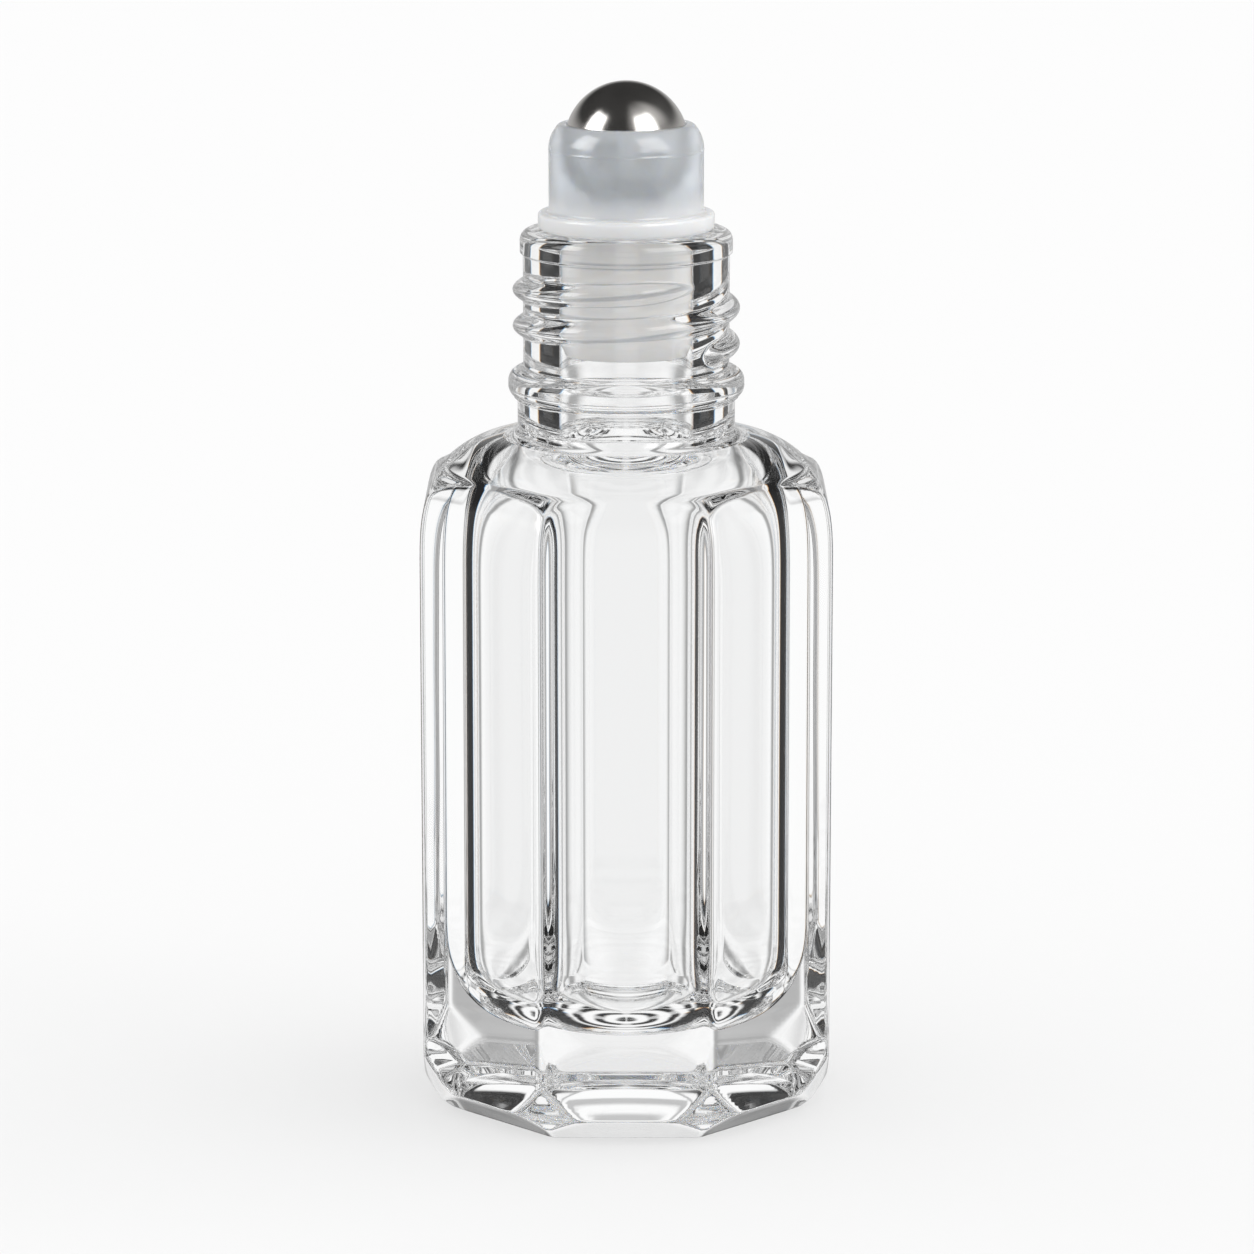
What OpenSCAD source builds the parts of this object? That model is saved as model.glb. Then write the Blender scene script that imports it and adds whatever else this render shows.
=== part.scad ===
// Octagonal glass roll on bottle: a thick moulded glass bottle with a screw
// finish, a translucent roller housing plugged into its neck, and a steel ball.
// Millimetres. The bottle stands on z = 0 with its axis on Z and a flat facing -Y.

/* [Glass body] */
// Width of the octagonal body across its flats
body_af = 26.6; // [25:0.1:30]
// Height of the crown of the shoulder
shoulder_z = 44.1; // [42:0.1:60]
// Radius at which the crown of the shoulder starts to fall
shoulder_crown_r = 7.6; // [7.5:0.1:8]
// Radius of the upper, tighter round of the shoulder
shoulder_round = 5.9; // [5.4:0.1:6.2]
// Radius of the lower, slower sweep of the shoulder
shoulder_sweep = 12.4; // [11.5:0.1:13]
// Height up to which the ridges between the flats stand straight
ridge_z = 39.2; // [38:0.1:40]
// Radius of the round at the top of each ridge
ridge_round = 3; // [2.4:0.1:3.2]
// Height of the bevel round the foot
heel_h = 1.6; // [1:0.1:2.2]
// How far the bevel round the foot runs in
heel_in = 1.84; // [1.2:0.02:2.2]
// Height at which the foot starts to trim the body's corners
heel_corner_h = 3.8; // [3:0.1:5]
// Width of the hollow under the base
punt_d = 17; // [14:0.5:18]
// Depth of the hollow under the base
punt_depth = 0.7; // [0.4:0.1:1.2]

/* [Inside of the glass] */
// Thickness of the side wall at a flat
side_wall = 4.5; // [3:0.1:5]
// Thickness of the glass under the liquid
base_wall = 5.7; // [4:0.1:8]
// Thickness of the glass above the liquid, at the shoulder
shoulder_wall = 2.2; // [2:0.1:3.5]
// Radius of the round between the inside wall and the floor
floor_round = 5; // [3.5:0.1:6]
// Radius of the round between the inside wall and the shoulder
ceiling_round = 3; // [2.6:0.1:4]
// Bore of the neck
bore_d = 8.7; // [8.4:0.05:9]

/* [Glass neck] */
// Height of the neck above the shoulder
neck_h = 13.45; // [13:0.05:16]
// Diameter of the neck below the bead
neck_foot_d = 14.1; // [13.8:0.1:14.6]
// Diameter of the neck wall that carries the thread
neck_d = 13.35; // [13:0.05:13.6]
// Diameter of the transfer bead
bead_d = 15.3; // [14.9:0.1:15.8]
// Thickness of the transfer bead
bead_h = 1.9; // [1.6:0.1:2.2]
// Height of the middle of the bead above the shoulder
bead_rise = 3.5; // [3.2:0.1:4]
// Diameter of the lip
lip_d = 13.75; // [13.7:0.05:14.2]
// Depth of the lip ring
lip_h = 1.6; // [1.4:0.1:1.8]

/* [Screw thread] */
// Diameter over the thread
thread_d = 14.7; // [14.3:0.1:15]
// Rise of the thread in one turn
thread_pitch = 2.35; // [2.2:0.05:2.5]
// Width of the thread at its root
thread_root_w = 1.7; // [1.5:0.1:1.8]
// Turns of thread
thread_turns = 2.06; // [1.5:0.02:2.1]
// Height of the start of the thread above the shoulder
thread_rise = 5.7; // [5.6:0.05:5.9]

/* [Roller ball] */
// Diameter of the steel ball
ball_d = 8; // [7.8:0.05:8.1]
// Running clearance round the ball
ball_clearance = 0.05; // [0.03:0.01:0.08]

/* [Roller housing] */
// Outside diameter of the ball cup
cup_d = 10; // [9.9:0.1:10.4]
// How far the cup's rim reaches above the middle of the ball
rim_over = 1.25; // [1.1:0.01:1.4]
// Height of the part of the cup that closes over the ball
rim_h = 1.6; // [1.3:0.05:1.7]
// Radius of the curve by which the cup closes over the ball
rim_sweep = 2.25; // [2.2:0.05:2.6]
// Diameter of the flange that sits on the lip
flange_d = 11.4; // [11:0.1:12]
// Thickness of the flange
flange_h = 1.13; // [0.9:0.01:1.4]
// Height of the middle of the ball above the flange
ball_rise = 4.4; // [4.3:0.05:4.8]
// Diameter of the well that feeds the ball from below
well_d = 4.6; // [4:0.1:5]
// Width of each oil groove in the ball seat
groove_w = 0.7; // [0.5:0.05:0.9]
// Number of oil grooves in the ball seat
groove_count = 4; // [3:1:6]
// Length of the plug below the flange
plug_l = 8; // [7:0.1:9]
// Wall of the hollow plug
plug_wall = 0.85; // [0.7:0.05:1]
// Number of sealing rings round the plug
ring_count = 3; // [2:1:4]

/* [Hidden] */
$fn = 128;

sides = 8;
side_angle = 360 / sides;
cut_over = 1;

// Outside of the glass
body_corner_r = body_af / 2 / cos(side_angle / 2);
corner_trim = 0.2;
turned_r = body_corner_r - corner_trim;
shoulder_blend_angle = 32;
crown_mid_z = shoulder_z - shoulder_round;
blend_z = crown_mid_z + shoulder_round * sin(shoulder_blend_angle);
sweep_shift = shoulder_sweep - shoulder_round;
sweep_mid_r = shoulder_crown_r - sweep_shift * cos(shoulder_blend_angle);
sweep_mid_z = crown_mid_z - sweep_shift * sin(shoulder_blend_angle);
heel_corner_lean = 22;
heel_turned_r = body_corner_r - heel_corner_h * tan(heel_corner_lean);
foot_af = body_af - 2 * heel_in;
dome_stand_off = 0.05;
punt_facets = 180;
punt_ball_r = (punt_d * punt_d / 4 + punt_depth * punt_depth) / (2 * punt_depth);

// Neck
lip_z = shoulder_z + neck_h;
lip_round = 0.7;
neck_flare = 0.8;
bead_z = shoulder_z + bead_rise;
neck_step = 0.2;

// Inside of the glass
cavity_flat_r = body_af / 2 - side_wall;
cavity_corner_trim = 0.3;
cavity_r = cavity_flat_r / cos(side_angle / 2) - cavity_corner_trim;
cavity_top_z = shoulder_z - shoulder_wall;
bore_mouth_round = 1.1;
bore_lip_round = 0.3;

// Screw thread, swept as rings of the same profile
thread_h = (thread_d - neck_d) / 2;
thread_end_sink = 0.15;
thread_root_share = 1.5;
thread_root_depth = thread_root_share * thread_h + thread_end_sink;
thread_fade_angle = 40;
thread_start_angle = -50;
thread_steps_a_turn = 30;
thread_steps = ceil(thread_turns * thread_steps_a_turn);
thread_profile_shares = [
    [-0.5, -0.2], [-0.36, 0.4], [-0.19, 0.88], [0, 1], [0.19, 0.88], [0.36, 0.4], [0.5, -0.2]
];

// Housing and ball
seat_gap = 0.02;
flange_z = lip_z + seat_gap;
flange_top_z = flange_z + flange_h;
flange_round = 0.25;
ball_z = flange_top_z + ball_rise;
socket_r = ball_d / 2 + ball_clearance;
rim_z = ball_z + rim_over;
rim_round = 0.3;
rim_sweep_z = rim_z - rim_h;
rim_sweep_r = cup_d / 2 - rim_sweep;
rim_round_z = rim_z - rim_round;
rim_round_r = rim_sweep_r + sqrt(pow(rim_sweep - rim_round, 2) - pow(rim_h - rim_round, 2));
well_floor = 0.2;
well_z = flange_top_z + well_floor;
plug_clearance = 0.1;
ring_clearance = 0.02;
plug_r = bore_d / 2 - plug_clearance;
ring_r = bore_d / 2 - ring_clearance;
ring_w = 0.6;
plug_z = flange_z - plug_l;
plug_taper_h = 0.9;
plug_taper_in = 0.35;
ring_pitch = (plug_l - plug_taper_h) / (ring_count + 1);
plug_bore_r = plug_r - plug_wall;
feed_d = 3;
groove_depth = 0.35;

// Half of the upright outline of the body at a flat: bevel, wall, sweep and round
// of the shoulder, which may stand off the dome a little
module flat_outline(stand_off) {
    polygon([
        [0, 0], [foot_af / 2, 0], [body_af / 2, heel_h], [body_af / 2, sweep_mid_z], [0, sweep_mid_z]
    ]);
    intersection() {
        translate([sweep_mid_r, sweep_mid_z]) circle(shoulder_sweep + stand_off);
        translate([0, sweep_mid_z]) square([body_af / 2, blend_z - sweep_mid_z]);
    }
    intersection() {
        translate([shoulder_crown_r, crown_mid_z]) circle(shoulder_round + stand_off);
        translate([0, blend_z]) square([body_af / 2, shoulder_round]);
    }
    translate([0, blend_z]) square([shoulder_crown_r, shoulder_z + stand_off - blend_z]);
}

// Half of the turned outline of the body at a ridge: foot, wall, the ridge's
// round top, and the dome that the ridges run into
module ridge_outline() {
    polygon([
        [0, 0], [heel_turned_r, 0], [turned_r, heel_corner_h - corner_trim / tan(heel_corner_lean)],
        [turned_r, ridge_z], [0, ridge_z]
    ]);
    translate([turned_r - ridge_round, ridge_z]) circle(ridge_round);
    translate([0, ridge_z]) square([turned_r - ridge_round, ridge_round]);
    flat_outline(0);
}

// Two opposite flats as one bar, pressed through the body from side to side, and
// turned on by some sides of the octagon
module flat_bar(sides_on) {
    rotate([90, 0, sides_on * side_angle])
        linear_extrude(2 * body_af, center = true) {
            flat_outline(dome_stand_off);
            mirror([1, 0]) flat_outline(dome_stand_off);
        }
}

// Half of the turned outline of the neck: flare, foot, bead, wall and lip
module neck_outline() {
    neck_r = neck_d / 2;
    foot_r = neck_foot_d / 2;
    lip_r = lip_d / 2;
    translate([0, shoulder_z - shoulder_round / 2]) square([foot_r, bead_z - shoulder_z + shoulder_round / 2]);
    difference() {
        translate([0, shoulder_z - neck_flare]) square([foot_r + neck_flare, 2 * neck_flare]);
        translate([foot_r + neck_flare, shoulder_z + neck_flare]) circle(neck_flare);
    }
    translate([bead_d / 2 - bead_h / 2, bead_z]) circle(bead_h / 2);
    translate([0, bead_z - bead_h / 2]) square([bead_d / 2 - bead_h / 2, bead_h]);
    translate([0, bead_z]) square([neck_r, lip_z - lip_round - bead_z]);
    translate([0, lip_z - lip_h]) square([lip_r, lip_h - lip_round]);
    translate([0, lip_z - lip_h - neck_step]) square([neck_r + neck_step / 2, lip_h - lip_round]);
    translate([lip_r - lip_round, lip_z - lip_round]) circle(lip_round);
    translate([0, lip_z - lip_round]) square([lip_r - lip_round, lip_round]);
}

// Half of the turned outline of the inside: floor, wall, ceiling and bore
module cavity_outline() {
    translate([0, base_wall]) square([cavity_r - floor_round, floor_round]);
    intersection() {
        translate([cavity_r - floor_round, base_wall + floor_round]) circle(floor_round);
        translate([0, base_wall]) square([cavity_r, floor_round]);
    }
    translate([0, base_wall + floor_round])
        square([cavity_r, cavity_top_z - ceiling_round - base_wall - floor_round]);
    intersection() {
        translate([cavity_r - ceiling_round, cavity_top_z - ceiling_round]) circle(ceiling_round);
        translate([0, cavity_top_z - ceiling_round]) square([cavity_r, ceiling_round]);
    }
    translate([0, cavity_top_z - ceiling_round]) square([cavity_r - ceiling_round, ceiling_round]);
    difference() {
        square_r = bore_d / 2 + bore_mouth_round;
        translate([0, cavity_top_z - bore_mouth_round]) square([square_r, 2 * bore_mouth_round]);
        translate([square_r, cavity_top_z + bore_mouth_round]) circle(bore_mouth_round);
    }
    translate([0, cavity_top_z - bore_mouth_round])
        square([bore_d / 2, lip_z - cavity_top_z + bore_mouth_round + cut_over]);
    difference() {
        mouth_r = bore_d / 2 + bore_lip_round;
        translate([0, lip_z - bore_lip_round]) square([mouth_r, bore_lip_round + cut_over]);
        translate([mouth_r, lip_z - bore_lip_round]) circle(bore_lip_round);
    }
}

// Octagonal bar with flats facing X and Y
module octagon_bar(across_flats, height) {
    rotate([0, 0, side_angle / 2])
        cylinder(r = across_flats / 2 / cos(side_angle / 2), h = height, $fn = sides);
}

// How far the ridge has risen at an angle from its start, as a share
function thread_fade_share(turned, whole) =
    let (near_share = min(1, min(turned, whole - turned) / thread_fade_angle))
    near_share * near_share * (3 - 2 * near_share);

// One ring of the thread's section. Its root is buried in the neck, and at both
// ends of the thread the whole ridge sinks below the neck's wall
function thread_ring(turned, whole) =
    let (
        angle = thread_start_angle + turned,
        z = shoulder_z + thread_rise + thread_pitch * turned / 360,
        sunk = (thread_h + thread_end_sink) * (1 - thread_fade_share(turned, whole)),
        ridge = [for (s = thread_profile_shares)
            [neck_d / 2 + s[1] * thread_h - sunk, s[0] * thread_root_w]],
        root = [for (side_share = [0.5, -0.5])
            [neck_d / 2 - thread_root_depth, side_share * thread_root_w]]
    )
    [for (p = concat(ridge, root)) [p[0] * cos(angle), p[0] * sin(angle), z + p[1]]];

// Faces of a tube whose rings have so many corners each, with both ends closed
function tube_faces(rings, corners) = concat(
    [for (i = [0:rings - 2], j = [0:corners - 1])
        let (k = (j + 1) % corners, low = i * corners, high = low + corners)
        each [[low + j, high + k, high + j], [low + j, low + k, high + k]]],
    [[for (j = [corners - 1:-1:0]) j]],
    [[for (j = [0:corners - 1]) (rings - 1) * corners + j]]
);

module screw_thread() {
    whole = thread_turns * 360;
    rings = [for (i = [0:thread_steps]) thread_ring(whole * i / thread_steps, whole)];
    polyhedron([for (ring = rings) each ring], tube_faces(len(rings), len(rings[0])), convexity = 6);
}

module glass_bottle() {
    color([0.86, 0.92, 0.93, 0.4])
    difference() {
        union() {
            intersection() {
                rotate_extrude() ridge_outline();
                flat_bar(0);
                flat_bar(1);
                flat_bar(2);
                flat_bar(3);
            }
            rotate_extrude() neck_outline();
            screw_thread();
        }
        intersection() {
            rotate_extrude() cavity_outline();
            octagon_bar(2 * cavity_flat_r, lip_z + 2 * cut_over);
        }
        translate([0, 0, punt_depth - punt_ball_r]) sphere(punt_ball_r, $fn = punt_facets);
    }
}

// Half of the turned outline of the housing, solid: plug, rings, flange and cup
module housing_outline() {
    flange_r = flange_d / 2;
    cup_r = cup_d / 2;
    polygon([
        [0, plug_z], [plug_r - plug_taper_in, plug_z], [plug_r, plug_z + plug_taper_h],
        [plug_r, flange_z + flange_round], [0, flange_z + flange_round]
    ]);
    for (i = [1:ring_count])
        translate([ring_r - ring_w / 2, plug_z + plug_taper_h + i * ring_pitch])
            circle(ring_w / 2);
    translate([0, flange_z]) square([flange_r - flange_round, flange_h]);
    translate([0, flange_z + flange_round]) square([flange_r, flange_h - 2 * flange_round]);
    translate([flange_r - flange_round, flange_z + flange_round]) circle(flange_round);
    translate([flange_r - flange_round, flange_top_z - flange_round]) circle(flange_round);
    translate([0, flange_z + flange_round]) square([cup_r, rim_sweep_z - flange_z - flange_round]);
    intersection() {
        translate([rim_sweep_r, rim_sweep_z]) circle(rim_sweep);
        translate([0, rim_sweep_z]) square([cup_r, rim_h - rim_round]);
    }
    translate([rim_round_r, rim_round_z]) circle(rim_round);
    translate([0, rim_round_z]) square([rim_round_r, rim_round]);
}

// Oil grooves that run up the seat from the well to the middle of the ball
module oil_grooves() {
    groove_r = socket_r + groove_depth;
    for (i = [0:groove_count - 1])
        rotate([0, 0, i * 360 / groove_count])
            intersection() {
                translate([0, 0, ball_z]) sphere(groove_r);
                translate([0, -groove_w / 2, well_z]) cube([groove_r, groove_w, ball_z - well_z]);
            }
}

module roller_housing() {
    color([0.86, 0.89, 0.92, 0.85])
    difference() {
        rotate_extrude() housing_outline();
        translate([0, 0, ball_z]) sphere(socket_r);
        translate([0, 0, well_z]) cylinder(d = well_d, h = ball_z - well_z);
        oil_grooves();
        translate([0, 0, plug_z - cut_over]) cylinder(d = feed_d, h = well_z - plug_z + 2 * cut_over);
        translate([0, 0, plug_z - cut_over]) cylinder(r = plug_bore_r, h = plug_l + cut_over);
    }
}

module roller_ball() {
    color([0.55, 0.56, 0.58])
    translate([0, 0, ball_z]) sphere(d = ball_d);
}

glass_bottle();
roller_housing();
roller_ball();
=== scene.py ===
"""Looks of a glass roll on bottle: pressed octagonal glass with a screw finish,
a translucent roller housing plugged into its neck, and a polished steel ball.

Sizes are in millimetres in the classes below and in metres on every mesh, in
the same frame as the CAD: the bottle stands on z = 0 with its axis on Z and a
flat facing -Y.
"""

import logging
import math
from dataclasses import dataclass, field
from enum import Enum

import bpy
import bmesh
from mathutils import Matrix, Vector


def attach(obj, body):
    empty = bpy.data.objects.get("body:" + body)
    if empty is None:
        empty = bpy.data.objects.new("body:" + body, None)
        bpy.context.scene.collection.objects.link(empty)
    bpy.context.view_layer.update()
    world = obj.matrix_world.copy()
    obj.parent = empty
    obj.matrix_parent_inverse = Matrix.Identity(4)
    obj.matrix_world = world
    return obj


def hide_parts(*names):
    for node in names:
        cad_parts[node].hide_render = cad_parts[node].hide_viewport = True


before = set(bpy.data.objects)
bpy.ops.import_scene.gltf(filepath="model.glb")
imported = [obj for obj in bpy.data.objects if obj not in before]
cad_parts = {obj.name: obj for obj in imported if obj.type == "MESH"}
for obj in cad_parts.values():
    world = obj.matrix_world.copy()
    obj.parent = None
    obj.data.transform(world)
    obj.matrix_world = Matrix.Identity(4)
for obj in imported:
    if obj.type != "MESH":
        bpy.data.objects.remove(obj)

log = logging.getLogger("roll_on_bottle")

# Metres in a millimetre.
MM = 0.001
# Where a flat stands that touches no ring, in millimetres.
FAR = 40.0
# Half of the angle that one of the eight flats takes.
HALF_FLAT = math.pi / 8
# Turn in radians under which a corner counts as straight.
STRAIGHT = 1e-3
# Millimetres under which two radii count as the same.
SAME = 1e-6
# Metres under which two points of a mesh become one.
WELD = 1e-6
# Degrees in a full turn, and from one flat of the bottle to the next.
FULL_TURN = 360.0
FLAT_TURN = 45.0

# Pairs of radius and height along a turned piece, in millimetres.
Outline = list[tuple[float, float]]


class Body(Enum):
    """CAD bodies that the pieces ride on."""

    BOTTLE = "bottle"
    FITMENT = "fitment"
    BALL = "ball"


class Slot(Enum):
    """Material slots of the record."""

    GLASS = "glass"
    HOUSING = "housing"
    BALL = "ball"


class Node(Enum):
    """CAD nodes that the detailed pieces stand for."""

    GLASS_BOTTLE = "glass_bottle"
    ROLLER_HOUSING = "roller_housing"
    ROLLER_BALL = "roller_ball"


class ProfileField(Enum):
    """Facts that each ring of a turned piece carries to its node tree."""

    FLAT = "flat_distance"
    CORNER = "corner_round"
    BLEND = "flat_blend"
    THREAD = "thread_share"
    GROOVE = "groove_depth"


@dataclass
class Ring:
    """One ring of a turned piece, in millimetres.

    Args:
        radius: Radius of the turned surface.
        height: Height of the ring.
        flat: Distance of the pressed flats from the axis.
        corner: Radius of the round where two flats meet.
        blend: Softness of the edge between a flat and the turned surface.
        thread: 1 where the screw thread may rise, else 0.
        groove: Depth of the oil grooves.
    """

    radius: float
    height: float
    flat: float = FAR
    corner: float = 0.0
    blend: float = 0.0
    thread: float = 0.0
    groove: float = 0.0


def arc(mid_r: float, mid_z: float, size: float, start: float, end: float, steps: int) -> Outline:
    """Points along an arc of a turned outline.

    Args:
        mid_r: Distance of the arc's middle from the axis.
        mid_z: Height of the arc's middle.
        size: Radius of the arc.
        start: First angle in degrees, 0 pointing away from the axis.
        end: Last angle in degrees.
        steps: Number of spans.

    Returns:
        Pairs of radius and height, both ends included.
    """
    angles = [math.radians(start + (end - start) * i / steps) for i in range(steps + 1)]
    return [(mid_r + size * math.cos(a), mid_z + size * math.sin(a)) for a in angles]


def rounded(corners: list[tuple[float, float, float]], span: float = 9.0) -> Outline:
    """A turned outline whose corners are replaced by arcs.

    Args:
        corners: Radius, height and rounding of each corner.
        span: Largest turn between two points of an arc, in degrees.

    Returns:
        Pairs of radius and height.
    """
    line: Outline = [corners[0][:2]]
    for before, here, after in zip(corners, corners[1:], corners[2:]):
        spot = Vector(here[:2])
        inward = (Vector(before[:2]) - spot).normalized()
        outward = (Vector(after[:2]) - spot).normalized()
        turn = math.pi - inward.angle(outward)
        if here[2] <= 0 or turn < STRAIGHT:
            line.append(here[:2])
            continue
        reach = here[2] * math.tan(turn / 2)
        middle = spot + (inward + outward).normalized() * (here[2] / math.cos(turn / 2))
        first = spot + inward * reach - middle
        last = spot + outward * reach - middle
        steps = max(2, math.ceil(math.degrees(turn) / span))
        for i in range(steps + 1):
            share = i / steps
            weight = (math.sin((1 - share) * turn), math.sin(share * turn))
            point = middle + (first * weight[0] + last * weight[1]) / math.sin(turn)
            line.append((point.x, point.y))
    line.append(corners[-1][:2])
    return line


def filled(line: Outline, gap: float) -> Outline:
    """The same outline with points added wherever two are further apart than gap.

    Args:
        line: Pairs of radius and height.
        gap: Largest distance between two points.

    Returns:
        Pairs of radius and height.
    """
    dense: Outline = [line[0]]
    for (r0, z0), (r1, z1) in zip(line, line[1:]):
        steps = max(1, math.ceil(math.hypot(r1 - r0, z1 - z0) / gap))
        dense += [(r0 + (r1 - r0) * i / steps, z0 + (z1 - z0) * i / steps) for i in range(1, steps + 1)]
    return dense


def eased_least(first: float, second: float, soft: float) -> float:
    """The smaller of two sizes, with a soft change from one to the other.

    Args:
        first: One size.
        second: The other size.
        soft: Difference from which on the change begins.

    Returns:
        At most the smaller one.
    """
    near = max(soft - abs(first - second), 0.0) / soft
    return min(first, second) - near * near * soft / 4


def softened(line: Outline, gap: float, passes: int) -> Outline:
    """The same outline with its bends eased, so that no reflection breaks where a round begins.

    Args:
        line: Pairs of radius and height.
        gap: Largest distance between two points.
        passes: How often each point is drawn towards its neighbours.

    Returns:
        Pairs of radius and height.
    """
    eased = filled(line, gap)
    for _ in range(passes):
        middle = [((a[0] + 2 * b[0] + c[0]) / 4, (a[1] + 2 * b[1] + c[1]) / 4)
                  for a, b, c in zip(eased, eased[1:], eased[2:])]
        eased = [eased[0], *middle, eased[-1]]
    return eased


class Value:
    """A socket of a node tree that can be added, multiplied and so on like a number."""

    def __init__(self, tree: "Tree", socket: bpy.types.NodeSocket) -> None:
        """Keeps the tree and the socket."""
        self.tree = tree
        self.socket = socket

    def __add__(self, other: "Value | float") -> "Value":
        """Sum."""
        return self.tree.math("ADD", self, other)

    def __sub__(self, other: "Value | float") -> "Value":
        """Difference."""
        return self.tree.math("SUBTRACT", self, other)

    def __rsub__(self, other: float) -> "Value":
        """Difference from a plain number."""
        return self.tree.math("SUBTRACT", other, self)

    def __mul__(self, other: "Value | float") -> "Value":
        """Product."""
        return self.tree.math("MULTIPLY", self, other)

    def __truediv__(self, other: "Value | float") -> "Value":
        """Quotient."""
        return self.tree.math("DIVIDE", self, other)


class Tree:
    """A node tree written as formulas, for geometry, materials or the studio's surroundings."""

    def __init__(self, tree: bpy.types.NodeTree) -> None:
        """Takes an empty or cleared tree."""
        self.tree = tree

    def node(self, kind: str, values: dict[str | int, object] | None = None,
             **settings: object) -> bpy.types.Node:
        """Adds a node.

        Args:
            kind: Blender's name of the node type.
            values: What goes into each input, by its name or number: a Value, a socket or a plain value.
            settings: Attributes of the node, such as its operation.

        Returns:
            The new node.
        """
        node = self.tree.nodes.new(kind)
        for name, setting in settings.items():
            setattr(node, name, setting)
        for name, value in (values or {}).items():
            self.feed(node.inputs[name], value)
        return node

    def feed(self, socket: bpy.types.NodeSocket, value: object) -> None:
        """Links a Value or socket into an input, or writes a plain value on it.

        Args:
            socket: The input.
            value: A Value, an output socket or a plain value.
        """
        if isinstance(value, Value):
            self.tree.links.new(value.socket, socket)
        elif isinstance(value, bpy.types.NodeSocket):
            self.tree.links.new(value, socket)
        else:
            socket.default_value = value

    def math(self, operation: str, *terms: "Value | float") -> Value:
        """Adds a Math node.

        Args:
            operation: Name of the operation.
            terms: Its inputs in order.

        Returns:
            The result.
        """
        node = self.node("ShaderNodeMath", operation=operation)
        for socket, term in zip(node.inputs, terms):
            self.feed(socket, term)
        return Value(self, node.outputs[0])

    def smooth_step(self, value: Value, low: float | Value, high: float | Value) -> Value:
        """A soft step.

        Args:
            value: Where the step is read.
            low: Value at which it is 0.
            high: Value at which it is 1.

        Returns:
            A number from 0 to 1.
        """
        values = {"Value": value, "From Min": low, "From Max": high}
        step = self.node("ShaderNodeMapRange", values, interpolation_type="SMOOTHSTEP")
        return Value(self, step.outputs[0])

    def off_nearest(self, angle: Value, step: float, start: float = 0.0) -> Value:
        """How far an angle lies from the nearest of some evenly spaced ones.

        Args:
            angle: The angle in degrees.
            step: Degrees from one of them to the next.
            start: One of them.

        Returns:
            The distance in degrees.
        """
        turned = (angle - start) / step
        return self.math("ABSOLUTE", turned - self.math("ROUND", turned)) * step


def new_material(name: str) -> tuple[bpy.types.Material, Tree]:
    """Starts a material with an empty node tree.

    Args:
        name: Name of the material.

    Returns:
        The material and its tree.
    """
    material = bpy.data.materials.new(name)
    material.use_nodes = True
    material.node_tree.nodes.clear()
    return material, Tree(material.node_tree)


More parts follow.
